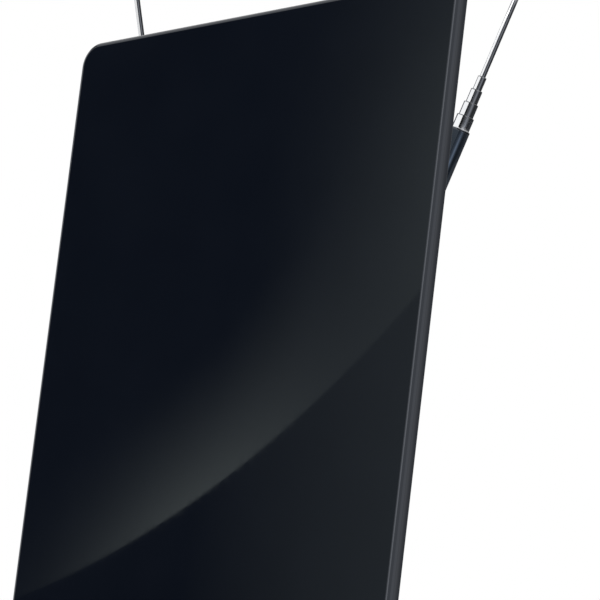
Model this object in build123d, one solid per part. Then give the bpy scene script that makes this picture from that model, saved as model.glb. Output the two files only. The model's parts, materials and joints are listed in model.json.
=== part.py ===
"""Flat indoor television antenna: a leaning gloss panel in a weighted foot, with two telescopic rods behind it.

World frame: X to the viewer's right, Y away from the viewer, Z up, origin at the middle of the foot pad's underside.
Panel, pod and rods are modelled in the leaning frame: x across, y behind the panel's front face, z up the panel.
"""

import math
import os

from build123d import *

# Driving dimensions, in millimetres and degrees
# Panel
PANEL_WIDTH = 200.0
PANEL_HEIGHT = 270.0
PANEL_CORNER = 9.0
PANEL_LEAN = 9.5
SKIRT_DEPTH = 5.4
FRONT_ROUND = 2.1
SKIRT_ROUND = 1.2
FRONT_WALL = 2.0
SKIRT_WALL = 2.0
COVER_GAP = 0.2
COVER_WALL = 1.8
DISH_DEPTH = 4.6
DISH_INSET = 12.0
DISH_SLOPE = 45.0
DISH_CORNER = 14.0
DISH_ROUND = 1.5

# Element inside the panel
BOARD_STANDOFF = 2.0
BOARD_THICKNESS = 1.0
BOARD_MARGIN = 3.0
BOARD_CORNER = 8.0
FOIL_THICKNESS = 0.2
FOIL_HEIGHT = 140.0
FOIL_STRIP = 16.0
FOIL_NECK = 8.0
FOIL_GAP = 6.0
FOIL_MARGIN = 4.0

# Screws of the panel and the foot
SCREW_RADIUS = 1.1
SCREW_HEAD_RADIUS = 2.2
SCREW_HEAD_HEIGHT = 1.2
SCREW_SINK = 0.2
SCREW_CLEARANCE = 0.2
THREAD_GAP = 0.04
DRIVE_WIDTH = 0.6
DRIVE_LENGTH = 2.4
DRIVE_DEPTH = 0.7
BOSS_WALL = 2.0
PILOT_END = 0.3
PANEL_SCREW_SIDE = 28.0
PANEL_SCREW_END = 32.0
PANEL_SCREW_ROWS = 3

# Foot
PLINTH_WIDTH = 150.0
PLINTH_DEPTH = 100.0
PLINTH_TOP = 20.0
PLINTH_CORNER = 22.0
PLINTH_ROUND = 3.0
BASE_WALL = 2.2
PANEL_FOOT_Y = -28.0
SLOT_GAP = 0.2
PAD_THICKNESS = 1.5
PAD_RECESS = 0.7
PAD_INSET = 6.0
PAD_GAP = 0.2
PLATE_THICKNESS = 2.2
PLATE_GAP = 0.25
BALLAST_WIDTH = 96.0
BALLAST_DEPTH = 56.0
BALLAST_THICKNESS = 4.0
BALLAST_CORNER = 6.0
BALLAST_GAP = 0.3
LOCATOR_WALL = 1.5
LOCATOR_HEIGHT = 2.5
LOCATOR_LENGTH = 18.0
BASE_SCREW_SIDE = 15.0
BASE_SCREW_END = 14.0
BASE_SEAT_HEIGHT = 2.0

# Pod behind the panel
POD_GAP = 0.2
POD_WIDTH = 80.0
POD_DEPTH = 38.0
POD_CORNER = 12.0
POD_FRONT_CORNER = 5.0
POD_ROUND = 4.0
POD_FOOT = 5.0
POD_BLEND = 3.0
FIX_SCREW_SPACING = 52.0
FIX_SCREW_HEIGHT = 36.0
FIX_BOSS_LENGTH = 2.4
LEAD_HOLE_RADIUS = 3.2

# Matching board and aerial outlet in the pod
JACK_HEIGHT = 33.0
JACK_RADIUS = 4.7
JACK_THREAD = 8.0
JACK_RELIEF = 0.25
JACK_CHAMFER = 0.6
JACK_BORE_RADIUS = 3.4
JACK_BORE_DEPTH = 9.0
JACK_FLANGE_RADIUS = 7.0
JACK_FLANGE = 3.0
JACK_TAIL_RADIUS = 3.2
JACK_GAP = 0.04
JACK_CONTACT_RADIUS = 0.9
JACK_CONTACT_HOLE = 0.5
INSULATOR_RECESS = 0.6
WASHER_RADIUS = 7.2
WASHER_THICKNESS = 0.8
NUT_ACROSS_FLATS = 12.7
NUT_THICKNESS = 2.6
MATCH_WIDTH = 60.0
MATCH_HEIGHT = 30.0
MATCH_THICKNESS = 1.2
MATCH_STAND = 10.0
MATCH_SCREW_SPACING = 48.0
CORE_WIDTH = 9.0
CORE_HEIGHT = 8.0
CORE_DEPTH = 6.0
CORE_HOLE_RADIUS = 1.4
CORE_DROP = 9.5

# Leads
FEED_RADIUS = 0.9
FEED_BEND = 5.4
LEAD_RADIUS = 0.6
LEAD_BEND = 3.6
LEAD_DROP = 9.0
SOLDER_GAP = 0.05

# Rod mounts
HINGE_SPACING = 40.0
HINGE_HEIGHT = 66.0
HINGE_DEPTH = 23.0
HINGE_RISE = 10.0
ROD_TURN = 6.8
ROD_TILT = 21.0
SWIVEL_GAP = 0.1
SWIVEL_RADIUS = 7.5
SWIVEL_FLANGE = 2.5
SWIVEL_EDGE = 0.6
STUD_RADIUS = 3.0
STUD_BORE_RADIUS = 1.5
STUD_BORE_DEPTH = 6.0
STUD_FIT = 0.06
COLLAR_WALL = 3.5
COLLAR_LENGTH = 2.8
TAG_THICKNESS = 0.5
TAG_RADIUS = 5.0
TAG_ARM_WIDTH = 4.0
TAG_ARM_REACH = 8.0
LEAD_REACH = 6.3
SPRING_THICKNESS = 0.5
SPRING_RADIUS = 5.6
SWIVEL_SCREW_HEAD = 4.3
SWIVEL_SCREW_HEIGHT = 1.6
PIN_RADIUS = 1.5
PIN_FIT = 0.05
PIN_HEAD_RADIUS = 2.4
PIN_HEAD_HEIGHT = 1.0
EYE_WIDTH = 3.0
EYE_RADIUS = 4.0
EYE_GAP = 0.1
CHEEK_THICKNESS = 2.2
CHEEK_RADIUS = 4.4
NECK_WIDTH = 5.6
NECK_LENGTH = 6.5
COLLAR_END = 9.0
PLUG_LENGTH = 7.0
PLUG_GAP = 0.03

# Telescopic sections, from the outer tube to the tip
TUBE_COUNT = 5
TIP_RADIUS = 1.1
TUBE_WALL = 0.2
RUN_GAP = 0.05
CATCH = 0.26
TUBE_END = 166.0
TUBE_SHOWN = 5.3
TUBE_STACK = 1.5
BUSH_LENGTH = 8.0
BUSH_SLOPE = 0.5
MOUTH_LENGTH = 1.0
TIP_TRAVEL = 138.0
BUTTON_RADIUS = 2.4
BUTTON_HEIGHT = 6.0
BUTTON_ROUND = 1.2
BUTTON_SEAT = 0.3

# Values worked out from the driving dimensions
SLOPE_TAN = math.tan(math.radians(DISH_SLOPE))
SLOPE_COS = math.cos(math.radians(DISH_SLOPE))
LEAN_SIN = math.sin(math.radians(PANEL_LEAN))
LEAN_COS = math.cos(math.radians(PANEL_LEAN))
PANEL_DEPTH = SKIRT_DEPTH + DISH_DEPTH
PANEL_MIDDLE = PANEL_HEIGHT / 2
BOARD_FRONT = FRONT_WALL + BOARD_STANDOFF
BOARD_BACK = BOARD_FRONT + BOARD_THICKNESS
BOSS_RADIUS = SCREW_RADIUS + BOSS_WALL
PILOT_RADIUS = SCREW_RADIUS + THREAD_GAP
SHANK_HOLE = SCREW_RADIUS + SCREW_CLEARANCE
HEAD_HOLE = SCREW_HEAD_RADIUS + SCREW_CLEARANCE
HEAD_SEAT = PANEL_DEPTH - SCREW_HEAD_HEIGHT - SCREW_SINK
PANEL_SCREW_X = PANEL_WIDTH / 2 - PANEL_SCREW_SIDE

SKIRT_BOTTOM = PAD_THICKNESS - PAD_RECESS
PLATE_TOP = SKIRT_BOTTOM + PLATE_THICKNESS
BALLAST_TOP = PLATE_TOP + BALLAST_THICKNESS
SLOT_BACK = SKIRT_DEPTH + SLOT_GAP
PANEL_FOOT_Z = BALLAST_TOP + BALLAST_GAP + BASE_WALL * LEAN_COS + (SLOT_BACK + BASE_WALL) * LEAN_SIN
BASE_SCREW_X = PLINTH_WIDTH / 2 - BASE_SCREW_SIDE
BASE_SCREW_Y = PLINTH_DEPTH / 2 - BASE_SCREW_END
BASE_SEAT = PLATE_TOP + BASE_SEAT_HEIGHT

POD_FRONT = PANEL_DEPTH + POD_GAP
POD_BACK = POD_FRONT + POD_DEPTH
POD_TOP = HINGE_HEIGHT - HINGE_RISE - SWIVEL_GAP
POD_CEILING = POD_TOP - BASE_WALL
POD_INNER_BACK = POD_BACK - BASE_WALL
POD_INNER_FRONT = POD_FRONT + BASE_WALL
NUT_END = POD_BACK + WASHER_THICKNESS + NUT_THICKNESS
JACK_END = NUT_END + JACK_THREAD + JACK_CHAMFER
MATCH_BACK = POD_INNER_BACK - MATCH_STAND
MATCH_FRONT = MATCH_BACK - MATCH_THICKNESS

COLLAR_BOTTOM = POD_CEILING - COLLAR_LENGTH
TAG_BOTTOM = COLLAR_BOTTOM - SWIVEL_GAP - TAG_THICKNESS
SPRING_BOTTOM = TAG_BOTTOM - SWIVEL_GAP - SPRING_THICKNESS
STUD_END = SPRING_BOTTOM - SWIVEL_GAP
FORK_INSIDE = EYE_WIDTH / 2 + EYE_GAP
FORK_OUTSIDE = FORK_INSIDE + CHEEK_THICKNESS
PLUG_END = COLLAR_END + PLUG_LENGTH

# The frame in which panel, pod and rods stand: z runs up the panel, y runs back from its front face
LEANING = Plane(
    origin=(0, PANEL_FOOT_Y, PANEL_FOOT_Z), x_dir=(1, 0, 0), z_dir=(0, LEAN_SIN, LEAN_COS)
).location


def dish_inset(depth):
    """Distance from the panel's edge to the inside of the dished back, at a depth behind the front."""
    return DISH_INSET + COVER_WALL / SLOPE_COS + (depth - SKIRT_DEPTH) * SLOPE_TAN


def tube_radius(index):
    """Outer radius of a telescopic section, built outwards from the tip rod."""
    step = TUBE_WALL + 2 * RUN_GAP + CATCH
    return TIP_RADIUS + (TUBE_COUNT - index) * step


def tube_top(index):
    """Upper end of a section, from the hinge, with the rod pushed together."""
    return TUBE_END + index * TUBE_SHOWN


def tube_bottom(index):
    """Lower end of a sliding section, from the hinge, with the rod pushed together."""
    return PLUG_END + index * TUBE_STACK


def facing_slab(inset, corner, front, back, taper=0):
    """A rounded plate the shape of the panel, drawn in by an inset, between two depths."""
    plane = Plane(origin=(0, front, PANEL_MIDDLE), x_dir=(1, 0, 0), z_dir=(0, 1, 0))
    outline = RectangleRounded(PANEL_WIDTH - 2 * inset, PANEL_HEIGHT - 2 * inset, corner)
    return extrude(plane * outline, back - front, taper=taper)


def back_pin(x, z, radius, front, back):
    """A cylinder along the depth of the panel."""
    plane = Plane(origin=(x, front, z), x_dir=(1, 0, 0), z_dir=(0, 1, 0))
    return extrude(plane * Circle(radius), back - front)


def upright_pin(x, y, radius, low, high):
    """A cylinder along z."""
    return extrude(Plane(origin=(x, y, low)) * Circle(radius), high - low)


def turned(points):
    """A solid of revolution about z from (radius, height) points."""
    return revolve(Plane.XZ * Polygon(*points, align=None), Axis.Z)


def group(shapes):
    """Several separate solids kept in one node."""
    return Compound([solid for shape in shapes for solid in shape.solids()])


def screw(length, head_radius=SCREW_HEAD_RADIUS, head_height=SCREW_HEAD_HEIGHT, radius=SCREW_RADIUS):
    """A pan-head screw with a cross recess: the seat is at the origin and the shank runs along -z."""
    body = upright_pin(0, 0, radius, -length, 0) + upright_pin(0, 0, head_radius, 0, head_height)
    body = fillet(body.edges().group_by(Axis.Z)[-1], head_height / 3)
    for turn in (0, 90):
        recess = Pos(0, 0, head_height) * Box(DRIVE_LENGTH, DRIVE_WIDTH, 2 * DRIVE_DEPTH)
        body -= Rot(0, 0, turn) * recess
    return body


def pointing_back(x, depth, z):
    """A place on the panel or pod from which +z of a screw points backwards."""
    return Plane(origin=(x, depth, z), x_dir=(1, 0, 0), z_dir=(0, 1, 0)).location


def pointing_front(x, depth, z):
    """A place from which +z of a screw points forwards."""
    return Plane(origin=(x, depth, z), x_dir=(1, 0, 0), z_dir=(0, -1, 0)).location


def panel_screw_places():
    """Centres of the screws through the panel's back, as (x, z)."""
    pitch = (PANEL_HEIGHT - 2 * PANEL_SCREW_END) / (PANEL_SCREW_ROWS - 1)
    rows = [PANEL_SCREW_END + row * pitch for row in range(PANEL_SCREW_ROWS)]
    return [(side * PANEL_SCREW_X, z) for z in rows for side in (-1, 1)]


def fix_screw_places():
    """Centres of the screws that hold the panel to the pod, as (x, z)."""
    return [(side * FIX_SCREW_SPACING / 2, FIX_SCREW_HEIGHT) for side in (-1, 1)]


def match_screw_places():
    """Centres of the matching board's screws, as (x, z)."""
    return [(side * MATCH_SCREW_SPACING / 2, JACK_HEIGHT) for side in (-1, 1)]


def base_screw_places():
    """Centres of the screws under the foot, as (x, y)."""
    return [(sx * BASE_SCREW_X, sy * BASE_SCREW_Y) for sx in (-1, 1) for sy in (-1, 1)]


# Panel
def front_cover():
    """Gloss tray: rounded front rim, skirt and the bosses that the board and screws sit on."""
    body = facing_slab(0, PANEL_CORNER, 0, SKIRT_DEPTH)
    body = fillet(body.faces().sort_by(Axis.Y)[0].edges(), FRONT_ROUND)
    body = fillet(body.faces().sort_by(Axis.Y)[-1].edges(), SKIRT_ROUND)
    body -= facing_slab(SKIRT_WALL, PANEL_CORNER - SKIRT_WALL, FRONT_WALL, SKIRT_DEPTH)
    for x, z in panel_screw_places():
        body += back_pin(x, z, BOSS_RADIUS, FRONT_WALL, BOARD_FRONT)
        body -= back_pin(x, z, PILOT_RADIUS, FRONT_WALL, BOARD_FRONT)
    return body


def rear_cover():
    """Matte back: a flange inside the skirt and a dish with drafted sides, bosses and counterbores."""
    inset = SKIRT_WALL + COVER_GAP
    flange_front = SKIRT_DEPTH - COVER_WALL
    dish_floor = PANEL_DEPTH - COVER_WALL
    dish = facing_slab(DISH_INSET, DISH_CORNER, SKIRT_DEPTH, PANEL_DEPTH, taper=DISH_SLOPE)
    dish = fillet(dish.faces().sort_by(Axis.Y)[-1].edges(), DISH_ROUND)
    body = facing_slab(inset, PANEL_CORNER - inset, flange_front, SKIRT_DEPTH) + dish
    body -= facing_slab(dish_inset(flange_front), DISH_CORNER, flange_front, dish_floor, taper=DISH_SLOPE)
    for x, z in panel_screw_places():
        body += back_pin(x, z, BOSS_RADIUS, BOARD_BACK, dish_floor)
        body -= back_pin(x, z, SHANK_HOLE, BOARD_BACK, PANEL_DEPTH)
        body -= back_pin(x, z, HEAD_HOLE, HEAD_SEAT, PANEL_DEPTH)
    for x, z in fix_screw_places():
        body += back_pin(x, z, BOSS_RADIUS, dish_floor - FIX_BOSS_LENGTH, dish_floor)
        body -= back_pin(x, z, PILOT_RADIUS, dish_floor - FIX_BOSS_LENGTH, PANEL_DEPTH)
    body -= back_pin(0, FIX_SCREW_HEIGHT, LEAD_HOLE_RADIUS, dish_floor, PANEL_DEPTH)
    return body


def element_board():
    """Insulating board inside the dish, clamped between the two sets of bosses."""
    body = facing_slab(dish_inset(BOARD_BACK) + BOARD_MARGIN, BOARD_CORNER, BOARD_FRONT, BOARD_BACK)
    for x, z in panel_screw_places():
        body -= back_pin(x, z, SHANK_HOLE, BOARD_FRONT, BOARD_BACK)
    return body


def element_foil():
    """Two fan-shaped loops that face each other across the feed gap."""
    reach = PANEL_SCREW_X - BOSS_RADIUS - FOIL_MARGIN
    plane = Plane(origin=(0, BOARD_FRONT, PANEL_MIDDLE), x_dir=(1, 0, 0), z_dir=(0, -1, 0))
    feed = FOIL_GAP / 2
    bend = reach - FOIL_STRIP
    half, neck = FOIL_HEIGHT / 2, FOIL_NECK / 2
    fan = Polygon(
        (feed, -neck), (bend, -half), (reach, -half), (reach, half), (bend, half), (feed, neck), align=None
    )
    window = offset(fan, -FOIL_STRIP, kind=Kind.INTERSECTION)
    loop = extrude(plane * (fan - window), FOIL_THICKNESS)
    return group([loop, mirror(loop, Plane.YZ)])


def panel_screws():
    """Six screws through the back into the front cover."""
    shank = screw(HEAD_SEAT - FRONT_WALL - PILOT_END)
    return group([pointing_back(x, HEAD_SEAT, z) * shank for x, z in panel_screw_places()])


def feed_lead():
    """Coaxial lead down the back of the element board and through the panel's back to the pod."""
    depth = BOARD_BACK + FEED_RADIUS + SOLDER_GAP
    route = FilletPolyline(
        (0, depth, PANEL_MIDDLE),
        (0, depth, FIX_SCREW_HEIGHT),
        (0, MATCH_FRONT - SOLDER_GAP, FIX_SCREW_HEIGHT),
        radius=FEED_BEND,
    )
    section = Plane(origin=route @ 0, z_dir=route % 0) * Circle(FEED_RADIUS)
    return sweep(section, path=route)


# Foot
def plinth_block(inset, top):
    """The foot's plan drawn in by an inset, from the skirt's lower edge to a height."""
    outline = RectangleRounded(PLINTH_WIDTH - 2 * inset, PLINTH_DEPTH - 2 * inset, PLINTH_CORNER - inset)
    return extrude(Plane(origin=(0, 0, SKIRT_BOTTOM)) * outline, top - SKIRT_BOTTOM)


def pod_block(inset, top):
    """The pod's section drawn in by an inset, in the leaning frame."""
    middle = (POD_FRONT + POD_BACK) / 2
    outline = Pos(0, middle) * Rectangle(POD_WIDTH - 2 * inset, POD_DEPTH - 2 * inset)
    outline = fillet(outline.vertices().group_by(Axis.Y)[-1], POD_CORNER - inset)
    outline = fillet(outline.vertices().group_by(Axis.Y)[0], POD_FRONT_CORNER - inset)
    return extrude(Plane(origin=(0, 0, POD_FOOT)) * outline, top - POD_FOOT)


def slot_block(margin, top):
    """The panel's slot right across the foot, grown by a margin, in the leaning frame."""
    low = Box(
        PANEL_WIDTH, SKIRT_DEPTH + 2 * (SLOT_GAP + margin), top + margin, align=(Align.CENTER, Align.MIN, Align.MIN)
    )
    return Pos(0, -SLOT_GAP - margin, -margin) * low


def base_cover():
    """Moulded foot: hollow plinth with the panel's slot, and the hollow pod that carries the rods."""
    plinth = plinth_block(0, PLINTH_TOP)
    plinth = fillet(plinth.faces().sort_by(Axis.Z)[-1].edges(), PLINTH_ROUND)
    pod = pod_block(0, POD_TOP)
    pod = fillet(pod.faces().sort_by(Axis.Z)[-1].edges(), POD_ROUND)
    body = plinth + LEANING * pod
    deck = body.faces().filter_by(Axis.Z).sort_by_distance((0, 0, PLINTH_TOP))[0]
    body = fillet(deck.inner_wires()[0].edges(), POD_BLEND)
    body -= plinth_block(BASE_WALL, PLINTH_TOP - BASE_WALL)
    body -= LEANING * pod_block(BASE_WALL, POD_CEILING)
    body += (LEANING * slot_block(BASE_WALL, PLINTH_TOP)) & plinth
    for x, y in base_screw_places():
        body += upright_pin(x, y, BOSS_RADIUS, BASE_SEAT, PLINTH_TOP - BASE_WALL)
        body -= upright_pin(x, y, PILOT_RADIUS, BASE_SEAT, PLINTH_TOP - BASE_WALL)
    body -= LEANING * slot_block(0, POD_TOP)
    for x, z in match_screw_places():
        body += LEANING * back_pin(x, z, BOSS_RADIUS, MATCH_BACK, POD_INNER_BACK)
        body -= LEANING * back_pin(x, z, PILOT_RADIUS, MATCH_BACK, POD_INNER_BACK)
    for x, z in fix_screw_places():
        body -= LEANING * back_pin(x, z, SHANK_HOLE, POD_FRONT, POD_INNER_FRONT)
    body -= LEANING * back_pin(0, FIX_SCREW_HEIGHT, LEAD_HOLE_RADIUS, POD_FRONT, POD_INNER_FRONT)
    body -= LEANING * back_pin(0, JACK_HEIGHT, JACK_RADIUS + JACK_GAP, POD_INNER_BACK, POD_BACK)
    for side in (-1, 1):
        x = side * HINGE_SPACING / 2
        collar = upright_pin(x, HINGE_DEPTH, STUD_RADIUS + COLLAR_WALL, COLLAR_BOTTOM, POD_CEILING)
        body += LEANING * collar
        body -= LEANING * upright_pin(x, HINGE_DEPTH, STUD_RADIUS + STUD_FIT, COLLAR_BOTTOM, POD_TOP)
    return body


def base_plate():
    """Closes the foot from below: raised screw seats, ballast locators and a recess for the pad."""
    inset = BASE_WALL + PLATE_GAP
    body = plinth_block(inset, PLATE_TOP)
    body -= plinth_block(PAD_INSET - PAD_GAP, PAD_THICKNESS)
    head_top = PAD_THICKNESS + SCREW_SINK + SCREW_HEAD_HEIGHT
    for x, y in base_screw_places():
        body += upright_pin(x, y, BOSS_RADIUS + BOSS_WALL, PLATE_TOP, BASE_SEAT)
        body -= upright_pin(x, y, SHANK_HOLE, PAD_THICKNESS, BASE_SEAT)
        body -= upright_pin(x, y, HEAD_HOLE, PAD_THICKNESS, head_top)
    reach_x = BALLAST_WIDTH / 2 + BALLAST_GAP + LOCATOR_WALL / 2
    reach_y = BALLAST_DEPTH / 2 + BALLAST_GAP + LOCATOR_WALL / 2
    lift = PLATE_TOP + LOCATOR_HEIGHT / 2
    for side in (-1, 1):
        body += Pos(side * reach_x, 0, lift) * Box(LOCATOR_WALL, LOCATOR_LENGTH, LOCATOR_HEIGHT)
        body += Pos(0, side * reach_y, lift) * Box(LOCATOR_LENGTH, LOCATOR_WALL, LOCATOR_HEIGHT)
    return body


def ballast_plate():
    """Steel weight that lies on the base plate."""
    outline = RectangleRounded(BALLAST_WIDTH, BALLAST_DEPTH, BALLAST_CORNER)
    return extrude(Plane(origin=(0, 0, PLATE_TOP)) * outline, BALLAST_THICKNESS)


def foot_pad():
    """Anti-slip sheet in the base plate's recess."""
    outline = RectangleRounded(
        PLINTH_WIDTH - 2 * PAD_INSET, PLINTH_DEPTH - 2 * PAD_INSET, PLINTH_CORNER - PAD_INSET
    )
    return extrude(outline, PAD_THICKNESS)


def base_screws():
    """Four screws from below, under the pad."""
    seat = PAD_THICKNESS + SCREW_SINK + SCREW_HEAD_HEIGHT
    shank = screw(PLINTH_TOP - BASE_WALL - PILOT_END - seat)
    return group([Pos(x, y, seat) * Rot(180, 0, 0) * shank for x, y in base_screw_places()])


def panel_fixing_screws():
    """Two screws from inside the pod into the panel's back."""
    shank = screw(POD_INNER_FRONT - PANEL_DEPTH + COVER_WALL + FIX_BOSS_LENGTH - PILOT_END)
    return group([pointing_back(x, POD_INNER_FRONT, z) * shank for x, z in fix_screw_places()])


# Matching board and aerial outlet
def matching_board():
    """Small board that stands on two bosses behind the aerial outlet."""
    plane = Plane(origin=(0, MATCH_FRONT, JACK_HEIGHT), x_dir=(1, 0, 0), z_dir=(0, 1, 0))
    body = extrude(plane * Rectangle(MATCH_WIDTH, MATCH_HEIGHT), MATCH_THICKNESS)
    for x, z in match_screw_places():
        body -= back_pin(x, z, SHANK_HOLE, MATCH_FRONT, MATCH_BACK)
    return body - back_pin(0, JACK_HEIGHT, JACK_CONTACT_RADIUS + JACK_GAP, MATCH_FRONT, MATCH_BACK)


def board_screws():
    """Two screws that hold the matching board."""
    shank = screw(MATCH_THICKNESS + MATCH_STAND - PILOT_END)
    return group([pointing_front(x, MATCH_FRONT, z) * shank for x, z in match_screw_places()])


def balun_core():
    """Two-hole ferrite core on the matching board, below the outlet."""
    middle = MATCH_FRONT - CORE_DEPTH / 2
    height = JACK_HEIGHT - CORE_DROP
    body = Pos(0, middle, height) * Box(CORE_WIDTH, CORE_DEPTH, CORE_HEIGHT)
    body = fillet(body.edges().filter_by(Axis.Z), CORE_DEPTH / 4)
    for side in (-1, 1):
        body -= upright_pin(
            side * CORE_WIDTH / 4, middle, CORE_HOLE_RADIUS, height - CORE_HEIGHT / 2, height + CORE_HEIGHT / 2
        )
    return body


def coax_jack_body():
    """Outlet barrel through the pod's back, with its flange inside and its tail on the board."""
    body = back_pin(0, JACK_HEIGHT, JACK_RADIUS, NUT_END, JACK_END)
    body = chamfer(body.edges().group_by(Axis.Y)[-1], JACK_CHAMFER)
    body += back_pin(0, JACK_HEIGHT, JACK_RADIUS - JACK_RELIEF, POD_INNER_BACK, NUT_END)
    body += back_pin(0, JACK_HEIGHT, JACK_FLANGE_RADIUS, POD_INNER_BACK - JACK_FLANGE, POD_INNER_BACK)
    body += back_pin(0, JACK_HEIGHT, JACK_TAIL_RADIUS, MATCH_BACK, POD_INNER_BACK - JACK_FLANGE)
    body -= back_pin(0, JACK_HEIGHT, JACK_BORE_RADIUS, JACK_END - JACK_BORE_DEPTH, JACK_END)
    return body - back_pin(0, JACK_HEIGHT, JACK_CONTACT_RADIUS + JACK_GAP, MATCH_BACK, JACK_END)


def coax_jack_insulator():
    """Plastic plug in the outlet's bore, around the contact."""
    start = JACK_END - JACK_BORE_DEPTH
    body = back_pin(0, JACK_HEIGHT, JACK_BORE_RADIUS - JACK_GAP, start, JACK_END - INSULATOR_RECESS)
    return body - back_pin(0, JACK_HEIGHT, JACK_CONTACT_RADIUS + JACK_GAP, start, JACK_END)


def coax_jack_contact():
    """Spring contact of the outlet, soldered to the board at its inner end."""
    end = JACK_END - 2 * INSULATOR_RECESS
    body = back_pin(0, JACK_HEIGHT, JACK_CONTACT_RADIUS, MATCH_FRONT - SOLDER_GAP, end)
    return body - back_pin(0, JACK_HEIGHT, JACK_CONTACT_HOLE, end - JACK_BORE_DEPTH, end)


def coax_jack_washer():
    """Flat washer under the outlet's nut."""
    body = back_pin(0, JACK_HEIGHT, WASHER_RADIUS, POD_BACK, POD_BACK + WASHER_THICKNESS)
    return body - back_pin(0, JACK_HEIGHT, JACK_RADIUS + JACK_GAP, POD_BACK, POD_BACK + WASHER_THICKNESS)


def coax_jack_nut():
    """Hexagon nut that holds the outlet."""
    start = POD_BACK + WASHER_THICKNESS
    plane = Plane(origin=(0, start, JACK_HEIGHT), x_dir=(1, 0, 0), z_dir=(0, 1, 0))
    hexagon = RegularPolygon(NUT_ACROSS_FLATS / 2, 6, major_radius=False)
    body = extrude(plane * hexagon, NUT_THICKNESS)
    return body - back_pin(0, JACK_HEIGHT, JACK_RADIUS + JACK_GAP, start, start + NUT_THICKNESS)


# Rod mounts, each in its own frame: origin on the hinge, z up the swivel axis, the rod tilts towards +x
def swivel():
    """Turning fork: flange, stud with a tapped bore, and two rounded cheeks."""
    flange_top = SWIVEL_FLANGE - HINGE_RISE
    flange = upright_pin(0, 0, SWIVEL_RADIUS, -HINGE_RISE, flange_top)
    flange = fillet(flange.edges().group_by(Axis.Z)[-1], SWIVEL_EDGE)
    outline = Circle(CHEEK_RADIUS) + Pos(0, flange_top / 2) * Rectangle(2 * CHEEK_RADIUS, -flange_top)
    blank = extrude(Plane(origin=(0, FORK_OUTSIDE, 0), x_dir=(1, 0, 0), z_dir=(0, -1, 0)) * outline, 2 * FORK_OUTSIDE)
    throat = Pos(0, 0, flange_top) * Box(
        4 * CHEEK_RADIUS, 2 * FORK_INSIDE, 2 * HINGE_RISE, align=(Align.CENTER, Align.CENTER, Align.MIN)
    )
    drop = HINGE_HEIGHT - STUD_END
    body = flange + (blank - throat) + upright_pin(0, 0, STUD_RADIUS, -drop, -HINGE_RISE)
    body -= upright_pin(0, 0, STUD_BORE_RADIUS, -drop, STUD_BORE_DEPTH - drop)
    return body - back_pin(0, 0, PIN_RADIUS + PLUG_GAP, -FORK_OUTSIDE, FORK_OUTSIDE)


def swivel_washer():
    """Spring washer under the solder tag."""
    low = SPRING_BOTTOM - HINGE_HEIGHT
    body = upright_pin(0, 0, SPRING_RADIUS, low, low + SPRING_THICKNESS)
    return body - upright_pin(0, 0, STUD_RADIUS + SWIVEL_GAP, low, low + SPRING_THICKNESS)


def swivel_screw():
    """Screw in the stud's end that keeps the fork in the pod."""
    seat = STUD_END - HINGE_HEIGHT
    radius = STUD_BORE_RADIUS - THREAD_GAP
    body = screw(STUD_BORE_DEPTH - PILOT_END, SWIVEL_SCREW_HEAD, SWIVEL_SCREW_HEIGHT, radius)
    return Pos(0, 0, seat) * Rot(180, 0, 0) * body


def hinge_pin():
    """Rivet across the fork."""
    body = back_pin(0, 0, PIN_RADIUS, -FORK_OUTSIDE, FORK_OUTSIDE)
    for side in (-1, 1):
        head = back_pin(0, 0, PIN_HEAD_RADIUS, side * FORK_OUTSIDE, side * (FORK_OUTSIDE + PIN_HEAD_HEIGHT))
        outer = head.edges().sort_by(Axis.Y)[-1 if side > 0 else 0]
        body += fillet(outer, PIN_HEAD_HEIGHT / 2)
    return body


# Rod sections, each along z from the hinge
def knuckle():
    """Flat eye, neck and the plug that the outer tube is crimped on."""
    neck = Pos(0, 0, NECK_LENGTH / 2) * Box(NECK_WIDTH, EYE_WIDTH, NECK_LENGTH)
    body = back_pin(0, 0, EYE_RADIUS, -EYE_WIDTH / 2, EYE_WIDTH / 2) + neck
    body += upright_pin(0, 0, tube_radius(0), NECK_LENGTH, COLLAR_END)
    body += upright_pin(0, 0, tube_radius(0) - TUBE_WALL - PLUG_GAP, COLLAR_END, PLUG_END)
    return body - back_pin(0, 0, PIN_RADIUS + PIN_FIT, -EYE_WIDTH / 2, EYE_WIDTH / 2)


def tube_mouth(index):
    """The swaged-in upper end of a tube, from its inner to its outer wall."""
    radius, top = tube_radius(index), tube_top(index)
    mouth = tube_radius(index + 1) + RUN_GAP
    return [
        (radius - TUBE_WALL, top - MOUTH_LENGTH),
        (mouth, top - MOUTH_LENGTH / 2),
        (mouth, top),
        (mouth + TUBE_WALL, top),
        (radius, top - MOUTH_LENGTH),
    ]


def bush(index):
    """The guide bush at a sliding section's lower end, from its foot up to the section's own wall."""
    low = tube_bottom(index)
    guide = tube_radius(index - 1) - TUBE_WALL - RUN_GAP
    return [
        (tube_radius(index), low + BUSH_LENGTH + BUSH_SLOPE),
        (guide, low + BUSH_LENGTH),
        (guide, low),
    ]


def outer_tube():
    """First tube, crimped on the knuckle's plug."""
    radius = tube_radius(0)
    return turned(tube_mouth(0) + [(radius, COLLAR_END), (radius - TUBE_WALL, COLLAR_END)])


def sliding_tube(index):
    """A tube that slides in the one before it."""
    inside = tube_radius(index) - TUBE_WALL
    return turned(tube_mouth(index) + bush(index) + [(inside, tube_bottom(index))])


def tip_rod():
    """Thin solid last section, drawn out."""
    end = tube_top(TUBE_COUNT - 1) + BUTTON_SEAT + BUTTON_HEIGHT / 2
    points = [(0, end), (TIP_RADIUS, end)] + bush(TUBE_COUNT) + [(0, tube_bottom(TUBE_COUNT))]
    return Pos(0, 0, TIP_TRAVEL) * turned(points)


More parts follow.
